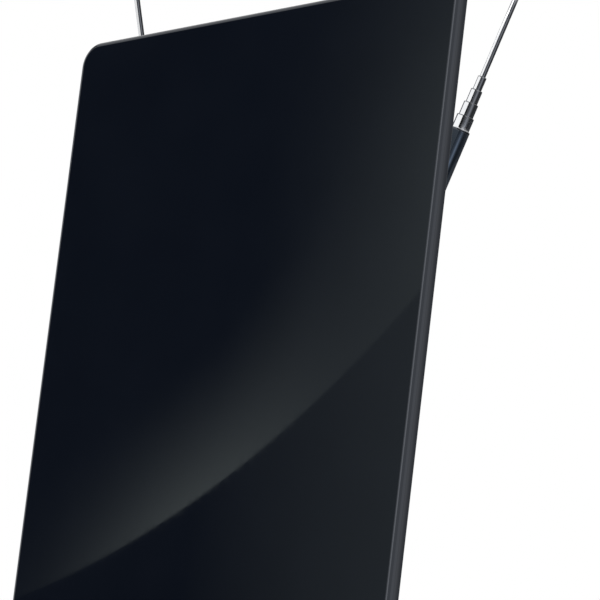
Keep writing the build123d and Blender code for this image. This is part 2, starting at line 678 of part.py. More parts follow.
def tip_button():
    """Rounded end button pressed on the tip rod."""
    low = tube_top(TUBE_COUNT - 1) + BUTTON_SEAT
    body = upright_pin(0, 0, BUTTON_RADIUS, low, low + BUTTON_HEIGHT)
    body = fillet(body.edges().group_by(Axis.Z)[-1], 2 * BUTTON_ROUND)
    body = fillet(body.edges().group_by(Axis.Z)[0], BUTTON_ROUND / 2)
    body -= upright_pin(0, 0, TIP_RADIUS + PLUG_GAP, low, low + BUTTON_HEIGHT / 2 + PLUG_GAP)
    return Pos(0, 0, TIP_TRAVEL) * body


# Tags and leads that join the rods to the matching board
def solder_tag(side):
    """Ring tag around the stud, with an arm towards the matching board."""
    x = side * HINGE_SPACING / 2
    top = TAG_BOTTOM + TAG_THICKNESS
    arm = Box(TAG_ARM_WIDTH, TAG_ARM_REACH, TAG_THICKNESS, align=(Align.CENTER, Align.MIN, Align.MIN))
    body = upright_pin(x, HINGE_DEPTH, TAG_RADIUS, TAG_BOTTOM, top) + Pos(x, HINGE_DEPTH, TAG_BOTTOM) * arm
    return body - upright_pin(x, HINGE_DEPTH, STUD_RADIUS + SWIVEL_GAP, TAG_BOTTOM, top)


def rod_lead(side):
    """Wire from a tag's arm down and back to the matching board."""
    x = side * HINGE_SPACING / 2
    y = HINGE_DEPTH + LEAD_REACH
    low = TAG_BOTTOM - LEAD_DROP
    route = FilletPolyline(
        (x, y, TAG_BOTTOM - SOLDER_GAP),
        (x, y, low),
        (x, MATCH_FRONT - SOLDER_GAP, low),
        radius=LEAD_BEND,
    )
    section = Plane(origin=route @ 0, z_dir=route % 0) * Circle(LEAD_RADIUS)
    return sweep(section, path=route)


def mount_place(side):
    """Where a rod's mount stands on the pod, turned so that its +x is the way the rod tilts."""
    turn = ROD_TURN if side > 0 else 180 - ROD_TURN
    return LEANING * Pos(side * HINGE_SPACING / 2, HINGE_DEPTH, HINGE_HEIGHT) * Rot(0, 0, turn)


# Every node of the antenna, in the world frame
NODES = {
    "front_cover": LEANING * front_cover(),
    "rear_cover": LEANING * rear_cover(),
    "element_board": LEANING * element_board(),
    "element_foil": LEANING * element_foil(),
    "panel_screws": LEANING * panel_screws(),
    "feed_lead": LEANING * feed_lead(),
    "base_cover": base_cover(),
    "base_plate": base_plate(),
    "ballast_plate": ballast_plate(),
    "foot_pad": foot_pad(),
    "base_screws": base_screws(),
    "panel_fixing_screws": LEANING * panel_fixing_screws(),
    "matching_board": LEANING * matching_board(),
    "board_screws": LEANING * board_screws(),
    "balun_core": LEANING * balun_core(),
    "coax_jack_body": LEANING * coax_jack_body(),
    "coax_jack_insulator": LEANING * coax_jack_insulator(),
    "coax_jack_contact": LEANING * coax_jack_contact(),
    "coax_jack_washer": LEANING * coax_jack_washer(),
    "coax_jack_nut": LEANING * coax_jack_nut(),
}

for name, side in (("left", -1), ("right", 1)):
    place = mount_place(side)
    along = place * Rot(0, ROD_TILT, 0)
    NODES["solder_tag_" + name] = LEANING * solder_tag(side)
    NODES["rod_lead_" + name] = LEANING * rod_lead(side)
    NODES["swivel_" + name] = place * swivel()
    NODES["swivel_washer_" + name] = place * swivel_washer()
    NODES["swivel_screw_" + name] = place * swivel_screw()
    NODES["hinge_pin_" + name] = place * hinge_pin()
    NODES["knuckle_" + name] = along * knuckle()
    NODES["tube_1_" + name] = along * outer_tube()
    for index in range(1, TUBE_COUNT):
        NODES[f"tube_{index + 1}_{name}"] = along * sliding_tube(index)
    NODES["tip_rod_" + name] = along * tip_rod()
    NODES["tip_button_" + name] = along * tip_button()

os.makedirs("parts", exist_ok=True)
for name, shape in NODES.items():
    export_step(shape, os.path.join("parts", name + ".step"))
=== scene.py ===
"""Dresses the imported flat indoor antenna: finishes, fine meshes, a white studio and the photograph's camera.

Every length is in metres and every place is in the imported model's frame. The leaning frame runs x across
the panel, y from its front to its back and z up it. A rod's frame has its origin on the hinge and z along
the rod.
"""

import json
from math import cos, pi, radians, sin, tau

import bmesh
import bpy
from mathutils import Matrix, Vector


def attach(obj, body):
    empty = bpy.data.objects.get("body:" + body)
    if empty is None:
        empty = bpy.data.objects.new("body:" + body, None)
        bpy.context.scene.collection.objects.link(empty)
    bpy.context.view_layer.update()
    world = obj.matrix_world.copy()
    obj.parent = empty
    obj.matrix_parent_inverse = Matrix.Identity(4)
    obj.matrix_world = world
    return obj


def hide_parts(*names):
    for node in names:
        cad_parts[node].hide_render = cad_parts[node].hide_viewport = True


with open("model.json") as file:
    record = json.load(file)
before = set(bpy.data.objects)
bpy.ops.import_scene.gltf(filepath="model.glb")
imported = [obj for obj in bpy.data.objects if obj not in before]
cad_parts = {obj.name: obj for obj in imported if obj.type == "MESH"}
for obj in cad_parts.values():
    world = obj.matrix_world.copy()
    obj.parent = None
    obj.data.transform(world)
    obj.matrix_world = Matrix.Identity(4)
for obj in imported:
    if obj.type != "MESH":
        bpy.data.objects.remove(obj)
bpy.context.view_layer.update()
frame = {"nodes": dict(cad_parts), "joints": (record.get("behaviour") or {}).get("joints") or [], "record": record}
NODES = frame["nodes"]
JOINTS = {joint["name"]: joint for joint in frame["joints"]}
SIDES = ("left", "right")
MM = 0.001

# Sizes of the panel's front that the frame doesn't state
PANEL_CORNER = 9.0 * MM
FRONT_ROUND = 2.1 * MM
FRONT_WALL = 2.0 * MM
SKIRT_CROWN = radians(6)
SKIRT_CROWN_END = 4.75 * MM
SKIRT_WALL = 2.0 * MM

# Sizes of the rods that the frame doesn't state
TUBE_COUNT = 5
TUBE_WALL = 0.2 * MM
RUN_GAP = 0.05 * MM
MOUTH_LENGTH = 1.0 * MM
MOUTH_ROUND = 0.25 * MM
# How far the outermost tube's lip colour, a painted highlight, runs further down the tube
PAINTED_LIP_BAND = 0.45 * MM
BUSH_LENGTH = 8.0 * MM
BUSH_SLOPE = 0.5 * MM
BUTTON_FOOT_ROUND = 0.6 * MM
BUTTON_TIP = 0.1 * MM

# Sizes of the aerial outlet that the frame doesn't state
JACK_BORE = 3.4 * MM
JACK_BORE_DEPTH = 9.0 * MM
JACK_BORE_LIP = 0.25 * MM
JACK_CHAMFER = 0.6 * MM
JACK_RELIEF = 0.25 * MM
JACK_BARREL = 4.7 * MM
JACK_FLANGE = 3.0 * MM
JACK_PANEL = 2.2 * MM
JACK_TAIL = 3.2 * MM
CONTACT_HOLE = 0.94 * MM
NUT_HOLE = 4.74 * MM
NUT_FLATS = 12.7 * MM
NUT_SIDE = pi / 3
NUT_FACE = 0.96
NUT_CHAMFER = 0.55
WASHER_ROUND = 0.2 * MM
THREAD_PITCH = 0.794 * MM
THREAD_DEPTH = 0.42 * MM
THREAD_CREST = 0.15
THREAD_ROOT = 0.8

# How finely round forms are cut, and how their shading turns at edges
CORNER_STEPS = 20
ROUND_STEPS = 10
LIP_STEPS = 3
THREAD_STEPS = 10
LATHE_STEPS = 96
SHARP_ANGLE = radians(35)
FACE_WEIGHT = 100

# Camera of the photograph
IMAGE_WIDTH = 600
FOCAL_PIXELS = 6747.85
AZIMUTH = 44.29
ELEVATION = -8.9
CAMERA_DISTANCE = 2.51479
AIM_FROM_TOP = Vector((17.283, 0.0, -112.836)) * MM


# Frames
def axes_frame(x, y, z, origin):
    """A frame with these axes at this origin."""
    return Matrix.Translation(origin) @ Matrix((x, y, z)).transposed().to_4x4()


def reach(node, direction):
    """Lowest and highest reach of a node along a direction."""
    values = [vertex.co.dot(direction) for vertex in NODES[node].data.vertices]
    return min(values), max(values)


def toward(azimuth, elevation):
    """Unit vector from the antenna towards an azimuth, where 0 is straight in front, and an elevation."""
    turn, rise = radians(azimuth), radians(elevation)
    return Vector((sin(turn) * cos(rise), -cos(turn) * cos(rise), sin(rise)))


def rod_frame(side):
    """The frame of a rod."""
    tilt = JOINTS[f"rod_tilt_{side}"]
    pin = Vector(tilt["axis"])
    along = Vector(JOINTS[f"tip_slide_{side}"]["axis"])
    return axes_frame(pin.cross(along), pin, along, Vector(tilt["pos_m"]))


ACROSS = Vector((1, 0, 0))
UP = Vector(JOINTS["swivel_turn_right"]["axis"])
BACK = UP.cross(ACROSS)
PANEL_LEFT, PANEL_RIGHT = reach("front_cover", ACROSS)
PANEL_FRONT, PANEL_SKIRT = reach("front_cover", BACK)
PANEL_FOOT, PANEL_TOP = reach("front_cover", UP)
PANEL_WIDTH = PANEL_RIGHT - PANEL_LEFT
PANEL_HEIGHT = PANEL_TOP - PANEL_FOOT
SKIRT_DEPTH = PANEL_SKIRT - PANEL_FRONT
LEANING = axes_frame(ACROSS, BACK, UP, BACK * PANEL_FRONT + UP * PANEL_FOOT)
ROD_FRAMES = {side: rod_frame(side) for side in SIDES}
TOP_EDGE = LEANING @ Vector((0, 0, PANEL_HEIGHT))
AIM = TOP_EDGE + AIM_FROM_TOP
EYE = AIM + toward(AZIMUTH, ELEVATION) * CAMERA_DISTANCE
CAMERA_RIGHT = Vector((cos(radians(AZIMUTH)), sin(radians(AZIMUTH)), 0))

# Noise: its usual swing, how detailed it is, and how much broader shade varies than grain
NOISE_SWING = (0.3, 0.7)
PLAIN_DETAIL = 2.0
FINE_DETAIL = 3.0
BROAD_RATIO = 20

# Gloss black: shades, tint of its reflections, roughness, and its patches, haze and ripples in a metre
GLOSS_SHADES = ((0.0047, 0.0067, 0.0118), (0.0057, 0.0079, 0.0134))
GLOSS_TINT = (0.97, 1.03, 1.13)
GLOSS_ROUGHNESS = (0.012, 0.03)
GLOSS_PATCHES = 30
GLOSS_HAZE = 400
GLOSS_HAZE_DETAIL = 4.0
GLOSS_RIPPLES = 45
GLOSS_RIPPLE_DETAIL = 1.0
GLOSS_RIPPLE_DEPTH = 1.5e-6

# Drawn tubes: dark shade, light shade, roughness range and the lip's painted colour
DRAWN = {
    # The lip colour is painted light: painted shade on chrome, a painted highlight on the black tube
    "chrome": ((0.76, 0.77, 0.79), (0.84, 0.845, 0.855), (0.012, 0.03), (0.1, 0.105, 0.115)),
    "black_tube": ((0.034, 0.043, 0.055), (0.043, 0.053, 0.067), (0.04, 0.08), (0.08, 0.088, 0.1)),
}
LIP_LAYER = "lip"
STREAKS = 5000
STREAK_STRETCH = (1, 0.02, 1)
STREAK_DEPTH = 4e-7
TUBE_HAZE = 180

# Mottled finishes: dark shade, light shade, roughness range, grains in a metre and relief in metres
PLASTICS = {
    "matte_black": ((0.009, 0.0095, 0.0105), (0.013, 0.0135, 0.0145), (0.42, 0.6), 2600, 1.4e-5),
    "rubber": ((0.012, 0.012, 0.012), (0.02, 0.02, 0.02), (0.7, 0.9), 1800, 2e-5),
    "board": ((0.3, 0.25, 0.11), (0.42, 0.36, 0.18), (0.4, 0.6), 900, 8e-6),
    "ferrite": ((0.03, 0.03, 0.032), (0.055, 0.055, 0.058), (0.45, 0.65), 1500, 1e-5),
    "insulator": ((0.72, 0.71, 0.67), (0.8, 0.79, 0.76), (0.35, 0.5), 900, 5e-6),
    "lead": ((0.025, 0.025, 0.027), (0.04, 0.04, 0.043), (0.4, 0.55), 900, 6e-6),
}
METALS = {
    "screw_steel": ((0.2, 0.2, 0.21), (0.3, 0.3, 0.31), (0.25, 0.42), 900, 3e-6),
    "ballast_steel": ((0.32, 0.32, 0.33), (0.44, 0.43, 0.42), (0.3, 0.5), 600, 6e-6),
    "nickel": ((0.56, 0.53, 0.48), (0.66, 0.63, 0.58), (0.16, 0.3), 700, 3e-6),
    "contact_brass": ((0.66, 0.47, 0.18), (0.76, 0.56, 0.26), (0.2, 0.35), 700, 3e-6),
    "copper": ((0.7, 0.36, 0.22), (0.78, 0.45, 0.3), (0.25, 0.4), 500, 4e-6),
}
PLAIN_IOR = 1.5
MATTE_IOR = 1.38


# Shader helpers
def wire(tree, value, socket):
    """Feeds a socket from another socket, or sets it to a number."""
    if isinstance(value, (int, float)):
        socket.default_value = value
    else:
        tree.links.new(value, socket)


def calc(tree, operation, *values):
    """A math node on sockets or numbers."""
    node = tree.nodes.new("ShaderNodeMath")
    node.operation = operation
    for socket, value in zip(node.inputs, values):
        wire(tree, value, socket)
    return node.outputs[0]


def object_place(tree):
    """Object coordinates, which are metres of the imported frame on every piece."""
    return tree.nodes.new("ShaderNodeTexCoord").outputs["Object"]


def uv_place(tree):
    """The surface's own coordinates."""
    return tree.nodes.new("ShaderNodeTexCoord").outputs["UV"]


def split_place(tree, place):
    """The three parts of a place."""
    node = tree.nodes.new("ShaderNodeSeparateXYZ")
    tree.links.new(place, node.inputs[0])
    return node.outputs


def noise(tree, place, scale, detail=PLAIN_DETAIL):
    """Noise between 0 and 1 with so many features in a metre."""
    node = tree.nodes.new("ShaderNodeTexNoise")
    tree.links.new(place, node.inputs["Vector"])
    node.inputs["Scale"].default_value = scale
    node.inputs["Detail"].default_value = detail
    return node.outputs["Fac"]


def spread(tree, value, low, high):
    """Maps the usual swing of a noise to a range."""
    node = tree.nodes.new("ShaderNodeMapRange")
    node.inputs["From Min"].default_value, node.inputs["From Max"].default_value = NOISE_SWING
    node.inputs["To Min"].default_value = low
    node.inputs["To Max"].default_value = high
    tree.links.new(value, node.inputs["Value"])
    return node.outputs["Result"]


def smooth_step(tree, value, low, high):
    """Rises smoothly from 0 to 1 between two values."""
    node = tree.nodes.new("ShaderNodeMapRange")
    node.interpolation_type = "SMOOTHSTEP"
    node.inputs["From Min"].default_value = low
    node.inputs["From Max"].default_value = high
    tree.links.new(value, node.inputs["Value"])
    return node.outputs["Result"]


def shades(tree, value, dark, light):
    """A colour between two shades, each a colour or a socket."""
    node = tree.nodes.new("ShaderNodeMix")
    node.data_type = "RGBA"
    tree.links.new(value, node.inputs["Factor"])
    for end, shade in (("A", dark), ("B", light)):
        if isinstance(shade, tuple):
            node.inputs[end].default_value = (*shade, 1)
        else:
            tree.links.new(shade, node.inputs[end])
    return node.outputs["Result"]


def relief(tree, height, distance):
    """A bump of so many metres."""
    node = tree.nodes.new("ShaderNodeBump")
    node.inputs["Distance"].default_value = distance
    tree.links.new(height, node.inputs["Height"])
    return node.outputs["Normal"]


def new_finish(name, metal=0.0, ior=PLAIN_IOR):
    """A material with its node tree and its main shader."""
    material = bpy.data.materials.new(name)
    material.use_nodes = True
    tree = material.node_tree
    shader = tree.nodes["Principled BSDF"]
    shader.inputs["Metallic"].default_value = metal
    shader.inputs["IOR"].default_value = ior
    return material, tree, shader


def mottled(name, dark, light, rough, grain, depth, metal=0.0, ior=PLAIN_IOR):
    """A finish whose shade, roughness and relief follow a noise with so many grains in a metre."""
    material, tree, shader = new_finish(name, metal, ior)
    place = object_place(tree)
    fine = noise(tree, place, grain, FINE_DETAIL)
    broad = noise(tree, place, grain / BROAD_RATIO)
    wire(tree, shades(tree, spread(tree, broad, 0, 1), dark, light), shader.inputs["Base Color"])
    wire(tree, spread(tree, fine, *rough), shader.inputs["Roughness"])
    wire(tree, relief(tree, fine, depth), shader.inputs["Normal"])
    return material


def gloss_black():
    """Polished black plastic with a trace of moulding ripple."""
    material, tree, shader = new_finish("gloss_black")
    shader.inputs["Specular Tint"].default_value = (*GLOSS_TINT, 1)
    place = object_place(tree)
    patches = spread(tree, noise(tree, place, GLOSS_PATCHES), 0, 1)
    haze = noise(tree, place, GLOSS_HAZE, GLOSS_HAZE_DETAIL)
    ripples = noise(tree, place, GLOSS_RIPPLES, GLOSS_RIPPLE_DETAIL)
    wire(tree, shades(tree, patches, *GLOSS_SHADES), shader.inputs["Base Color"])
    wire(tree, spread(tree, haze, *GLOSS_ROUGHNESS), shader.inputs["Roughness"])
    wire(tree, relief(tree, ripples, GLOSS_RIPPLE_DEPTH), shader.inputs["Normal"])
    return material


def drawn_metal(name, dark, light, rough, lip):
    """Plated drawn tube: fine streaks run along it, its polish varies and its rolled lip has painted light."""
    material, tree, shader = new_finish(name, metal=1.0)
    stretch = tree.nodes.new("ShaderNodeMapping")
    tree.links.new(uv_place(tree), stretch.inputs["Vector"])
    stretch.inputs["Scale"].default_value = STREAK_STRETCH
    streaks = noise(tree, stretch.outputs["Vector"], STREAKS, FINE_DETAIL)
    haze = noise(tree, object_place(tree), TUBE_HAZE, FINE_DETAIL)
    # Lip rings take the lip colour: painted shade on chrome, a painted highlight on the black tube
    painted_lip = tree.nodes.new("ShaderNodeAttribute")
    painted_lip.attribute_name = LIP_LAYER
    plating = shades(tree, spread(tree, haze, 0, 1), dark, light)
    polish = calc(tree, "MULTIPLY", calc(tree, "ADD", streaks, haze), 0.5)
    wire(tree, shades(tree, painted_lip.outputs["Fac"], plating, lip), shader.inputs["Base Color"])
    wire(tree, spread(tree, polish, *rough), shader.inputs["Roughness"])
    wire(tree, relief(tree, streaks, STREAK_DEPTH), shader.inputs["Normal"])
    return material


FINISHES = {"gloss_black": gloss_black()}
for finish_name, values in PLASTICS.items():
    FINISHES[finish_name] = mottled(
        finish_name, *values, ior=MATTE_IOR if finish_name == "matte_black" else PLAIN_IOR
    )
for finish_name, values in METALS.items():
    FINISHES[finish_name] = mottled(finish_name, *values, metal=1.0)
for finish_name, values in DRAWN.items():
    FINISHES[finish_name] = drawn_metal(finish_name, *values)
for part in frame["record"]["subparts"]:
    for holder in NODES[part["node"]].material_slots:
        holder.material = FINISHES[part["material_slot"]]


# Mesh helpers
def add_piece(name, form, body, finish, *replaced):
    """A visible piece from a bmesh, which rides on a body and stands for the nodes that it replaces."""
    bmesh.ops.recalc_face_normals(form, faces=form.faces)
    mesh = bpy.data.meshes.new(name)
    form.to_mesh(mesh)
    form.free()
    mesh.shade_smooth()
    mesh.set_sharp_from_angle(angle=SHARP_ANGLE)
    mesh.materials.append(FINISHES[finish])
    piece = bpy.data.objects.new(name, mesh)
    bpy.context.scene.collection.objects.link(piece)
    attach(piece, body)
    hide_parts(*replaced)
    normals = piece.modifiers.new("crisp", "WEIGHTED_NORMAL")
    normals.weight = FACE_WEIGHT
    normals.keep_sharp = True


def arc(steps):
    """Angles of a quarter turn."""
    return [step / steps * pi / 2 for step in range(steps + 1)]


def rounded_outline(inset):
    """Points round the panel's outline, drawn in by an inset, as (x, z) from the panel's middle."""
    radius = PANEL_CORNER - inset
    half_width = PANEL_WIDTH / 2 - inset - radius
    half_height = PANEL_HEIGHT / 2 - inset - radius
    points = []
    for corner, (side, end) in enumerate(((1, 1), (-1, 1), (-1, -1), (1, -1))):
        for angle in arc(CORNER_STEPS):
            turn = angle + corner * pi / 2
            points.append((side * half_width + radius * cos(turn), end * half_height + radius * sin(turn)))
    return points


def skin(form, rings, closed):
    """Joins rings of equally many vertices with quads, in a closed band or with capped ends."""
    pairs = list(zip(rings, rings[1:]))
    if closed:
        pairs.append((rings[-1], rings[0]))
    else:
        form.faces.new(rings[0])
        form.faces.new(rings[-1])
    for first, second in pairs:
        for index in range(len(first)):
            after = (index + 1) % len(first)
            form.faces.new((first[index], first[after], second[after], second[index]))


def lathe(profile, place, closed, painted_lip=()):
    """A form turned about z and moved to its place, with UVs in metres and rings marked for the painted lip.

    The profile holds (radius, height) points, or functions that give one from the turn.
    """
    form = bmesh.new()
    lip = form.verts.layers.float.new(LIP_LAYER)
    turns = [step / LATHE_STEPS * tau for step in range(LATHE_STEPS)]
    rings = []
    for point in profile:
        ring = []
        for turn in turns:
            radius, height = point(turn) if callable(point) else point
            ring.append(form.verts.new(place @ Vector((radius * cos(turn), radius * sin(turn), height))))
        rings.append(ring)
    skin(form, rings, closed)
    # Marks the lip rings for painted light: shade on chrome tubes, a highlight on the black tube
    for index in painted_lip:
        for corner in rings[index]:
            corner[lip] = 1.0
    layer = form.loops.layers.uv.new("turned")
    home = place.inverted()
    girth = max((home @ ring[0].co).xy.length for ring in rings)
    for face in form.faces:
        middle = home @ face.calc_center_median()
        for loop in face.loops:
            spot = home @ loop.vert.co
            turn = middle.xy.angle_signed(spot.xy, 0) + Vector((1, 0)).angle_signed(middle.xy, 0)
            loop[layer].uv = (turn * girth, spot.z)
    return form


# Panel
def panel_front():
    """The gloss tray: flat front, rounded rim, slightly crowned skirt with an eased back edge, and hollow."""
    profile = [(FRONT_ROUND * (1 - sin(a)), FRONT_ROUND * (1 - cos(a))) for a in arc(ROUND_STEPS)]
    crown = (SKIRT_CROWN_END - FRONT_ROUND) / sin(SKIRT_CROWN)
    edge = (SKIRT_DEPTH - SKIRT_CROWN_END) / (1 - sin(SKIRT_CROWN))
    middle = crown - (crown - edge) * cos(SKIRT_CROWN)
    for step in range(1, ROUND_STEPS):
        angle = SKIRT_CROWN * step / ROUND_STEPS
        profile.append((crown * (1 - cos(angle)), FRONT_ROUND + crown * sin(angle)))
    for step in range(ROUND_STEPS + 1):
        angle = SKIRT_CROWN + (pi / 2 - SKIRT_CROWN) * step / ROUND_STEPS
        profile.append((middle - edge * cos(angle), SKIRT_DEPTH - edge * (1 - sin(angle))))
    profile += [(SKIRT_WALL, SKIRT_DEPTH), (SKIRT_WALL, FRONT_WALL)]
    form = bmesh.new()
    rings = []
    for inset, depth in profile:
        ring = [Vector((x, depth, z + PANEL_HEIGHT / 2)) for x, z in rounded_outline(inset)]
        rings.append([form.verts.new(LEANING @ point) for point in ring])
    skin(form, rings, closed=False)
    add_piece("panel_front", form, "foot", "gloss_black", "front_cover")


# Rods
def measured(node, side):
    """Lower end, upper end and wall radius of a rod's section, in the rod's frame."""
    home = ROD_FRAMES[side].inverted()
    places = [home @ vertex.co for vertex in NODES[f"{node}_{side}"].data.vertices]
    low = min(place.z for place in places)
    high = max(place.z for place in places)
    radius = max(place.xy.length for place in places if place.z > (low + high) / 2)
    return low, high, radius


def bush(low, guide, radius):
    """Profile of the guide bush at a section's lower end, upwards."""
    return [(guide, low), (guide, low + BUSH_LENGTH), (radius, low + BUSH_LENGTH + BUSH_SLOPE)]


def guide_radius(index, side):
    """Radius of a bush that runs inside a tube."""
    return measured(f"tube_{index}", side)[2] - TUBE_WALL - RUN_GAP


def tube(index, side):
    """One telescopic tube with a rounded, swaged-in mouth."""
    low, high, radius = measured(f"tube_{index}", side)
    inner = f"tube_{index + 1}" if index < TUBE_COUNT else "tip_rod"
    mouth = measured(inner, side)[2] + RUN_GAP
    bore = radius - TUBE_WALL
    profile = bush(low, guide_radius(index - 1, side), radius) if index > 1 else [(radius, low)]
    lip = TUBE_WALL / 2
    shoulder = radius - mouth - lip
    # The lip takes painted shade on chrome; on the outermost tube a longer band takes a painted highlight
    painted_band = PAINTED_LIP_BAND if index == 1 else 0
    profile.append((radius, high - MOUTH_ROUND - painted_band - MOUTH_ROUND))
    painted_from = len(profile)
    if painted_band:
        profile.append((radius, high - MOUTH_ROUND - painted_band))
    for angle in arc(ROUND_STEPS):
        profile.append((mouth + lip + shoulder * cos(angle), high - MOUTH_ROUND * (1 - sin(angle))))
    for angle in arc(LIP_STEPS)[1:]:
        profile.append((mouth + lip * (1 - sin(angle)), high - lip * (1 - cos(angle))))
    profile.append((mouth, high - MOUTH_LENGTH / 2))
    painted_lip = range(painted_from, len(profile))
    profile += [(bore, high - MOUTH_LENGTH), (bore, low)]
    body = f"section_{index}_{side}" if index > 1 else f"rod_{side}"
    finish = "chrome" if index > 1 else "black_tube"
    node = f"tube_{index}_{side}"
    form = lathe(profile, ROD_FRAMES[side], closed=True, painted_lip=painted_lip)
    add_piece(f"rod_{node}", form, body, finish, node)


def tip(side):
    """The thin last section and its rounded end button."""
    low, high, bore = measured("tip_rod", side)
    profile = bush(low, guide_radius(TUBE_COUNT, side), bore) + [(bore, high)]
    form = lathe(profile, ROD_FRAMES[side], closed=False)
    add_piece(f"rod_tip_{side}", form, f"tip_{side}", "chrome", f"tip_rod_{side}")
    depth = high
    low, high, radius = measured("tip_button", side)
    profile = [(bore, low)]
    for angle in arc(ROUND_STEPS):
        profile.append(
            (radius - BUTTON_FOOT_ROUND * (1 - sin(angle)), low + BUTTON_FOOT_ROUND * (1 - cos(angle)))
        )
    for angle in arc(2 * ROUND_STEPS):
        profile.append((max(radius * cos(angle), BUTTON_TIP), high - radius * (1 - sin(angle))))
    profile += [(BUTTON_TIP, depth), (bore, depth)]
    form = lathe(profile, ROD_FRAMES[side], closed=True)
    add_piece(f"rod_button_{side}", form, f"tip_{side}", "chrome", f"tip_button_{side}")


# Aerial outlet
def outlet_frame():
    """The frame of the aerial outlet: x up the pod and z out of it, from the outer face of its nut."""
    low, high = reach("coax_jack_washer", UP)
    left, right = reach("coax_jack_washer", ACROSS)
    middle = UP * (low + high) / 2 + ACROSS * (left + right) / 2
    return axes_frame(UP, ACROSS, BACK, middle + BACK * reach("coax_jack_nut", BACK)[1])


def outlet_reach(node):
    """Lower end, upper end and largest radius of a node round the outlet, in the outlet's frame."""
    home = outlet_frame().inverted()
    places = [home @ vertex.co for vertex in NODES[node].data.vertices]
    heights = [place.z for place in places]
    return min(heights), max(heights), max(place.xy.length for place in places)


def outlet_barrel():
    """The outlet's body, with a helical thread that runs out in the chamfer at its end."""
    low, high, flange = outlet_reach("coax_jack_body")
    washer_low = outlet_reach("coax_jack_washer")[0]
    flange_high = washer_low - JACK_PANEL
    flange_low = flange_high - JACK_FLANGE
    shank = JACK_BARREL - JACK_RELIEF

    def thread(height):
        """A ring of the thread at a height, as a function of the turn."""

        def point(turn):
            """Radius and height of the ring at a turn."""
            wave = abs(2 * ((height / THREAD_PITCH - turn / tau) % 1) - 1)
            share = (wave - THREAD_CREST) / (THREAD_ROOT - THREAD_CREST)
            radius = JACK_BARREL - min(max(share, 0), 1) * THREAD_DEPTH
            return min(radius, JACK_BARREL - JACK_CHAMFER + high - height), height

        return point

    count = round(high / THREAD_PITCH * THREAD_STEPS)
    profile = [(CONTACT_HOLE, low), (JACK_TAIL, low), (JACK_TAIL, flange_low), (flange, flange_low)]
    profile += [(flange, flange_high), (shank, flange_high), (shank, 0)]
    profile += [thread(high * step / count) for step in range(count + 1)]
    profile += [(JACK_BORE + JACK_BORE_LIP, high), (JACK_BORE, high - JACK_BORE_LIP)]
    profile += [(JACK_BORE, high - JACK_BORE_DEPTH), (CONTACT_HOLE, high - JACK_BORE_DEPTH)]
    form = lathe(profile, outlet_frame(), closed=True)
    add_piece("outlet_barrel", form, "foot", "nickel", "coax_jack_body")


def outlet_nut():
    """The hexagon nut, with its corners chamfered on both faces."""
    low, high = outlet_reach("coax_jack_nut")[:2]
    face = NUT_FACE * NUT_FLATS / 2

    def flank(end, inward):
        """The hexagon's edge at one end, as a function of the turn."""

        def point(turn):
            """Radius and height of the edge at a turn."""
            radius = NUT_FLATS / 2 / cos((turn + NUT_SIDE / 2) % NUT_SIDE - NUT_SIDE / 2)
            return radius, end + inward * (radius - face) * NUT_CHAMFER

        return point

    profile = [(NUT_HOLE, low), (face, low), flank(low, 1), flank(high, -1), (face, high), (NUT_HOLE, high)]
    add_piece("outlet_nut", lathe(profile, outlet_frame(), closed=True), "foot", "nickel", "coax_jack_nut")


def outlet_washer():
    """The washer under the nut, with rounded edges."""
    low, high, radius = outlet_reach("coax_jack_washer")
    core = radius - WASHER_ROUND
    rise = [(core + WASHER_ROUND * sin(a), WASHER_ROUND * (1 - cos(a))) for a in arc(ROUND_STEPS)]
    profile = [(NUT_HOLE, low)] + [(r, low + z) for r, z in rise]
    profile += [(r, high - z) for r, z in reversed(rise)] + [(NUT_HOLE, high)]
    form = lathe(profile, outlet_frame(), closed=True)
    add_piece("outlet_washer", form, "foot", "nickel", "coax_jack_washer")


panel_front()
outlet_barrel()
outlet_nut()
outlet_washer()
for rod_side in SIDES:
    for tube_index in range(1, TUBE_COUNT + 1):
        tube(tube_index, rod_side)
    tip(rod_side)

# World and floor
WHITE = 1.0
FILL = 0.72
FLOOR_RADIUS = 1.6
FLOOR_FADE = (0.3, 1.4)
FLOOR_SHADE = (0.86, 0.86, 0.86)
FLOOR_STEPS = 64

# The card that shows in the panel's front, in the panel's own coordinates
CARD_DISTANCE = 0.7
CARD_MARGIN = 130 * MM
CARD_FADE = 12 * MM
CARD_TINT = (0.93, 1.01, 0.91)
BAND_CENTRE = (-181.1 * MM, 453.9 * MM)
BAND_RADIUS = 414.1 * MM
BAND_DEPTH = 60 * MM
BAND_WIDENING = 0.4
BAND_LIGHT = 0.64
BAND_PEAK = -3 * MM
BAND_SPREAD = 57 * MM
VEIL_START = -8 * MM
VEIL_REACH = 100 * MM
VEIL_BELOW = 0.218
VEIL_ABOVE = 0.3
VEIL_POWER = 2.2
VEIL_TOP = (190 * MM, 310 * MM)
VEIL_DROP = 0.6

# Curved flags that show in the rods: (turn round the rod in degrees, distance) and (turn, light) stops
FLAG_REACH = (
    (-180, 0.55), (-90, 0.55), (-45, 1.3), (0, 1.3), (42, 0.56),
    (80, 0.58), (98, 0.68), (125, 0.95), (180, 0.95),
)
FLAG_TINT = (0.92, 0.97, 1.08)
FLAG_FADE = (0.8, 1.0)
FLAG_STEPS = 40
CHROME_STOPS = (
    (-34, 0.08), (1, 0.07), (15, 0.12), (30, 0.24), (44, 0.15),
    (60, 0.04), (78, 0.025), (120, 0.045), (174, 0.05),
)
TUBE_STOPS = (
    (-8, 0.7), (8, 0.7), (20, 1.1), (33, 2.7), (44, 1.4),
    (54, 0.5), (65, 0.2), (110, 0.35), (174, 0.1),
)
LEFT_OUTLINE_STOPS = ((-178, 0.36), (-126, 0.4))
RIGHT_OUTLINE_STOPS = ((-178, 0.1), (-118, 0.14))

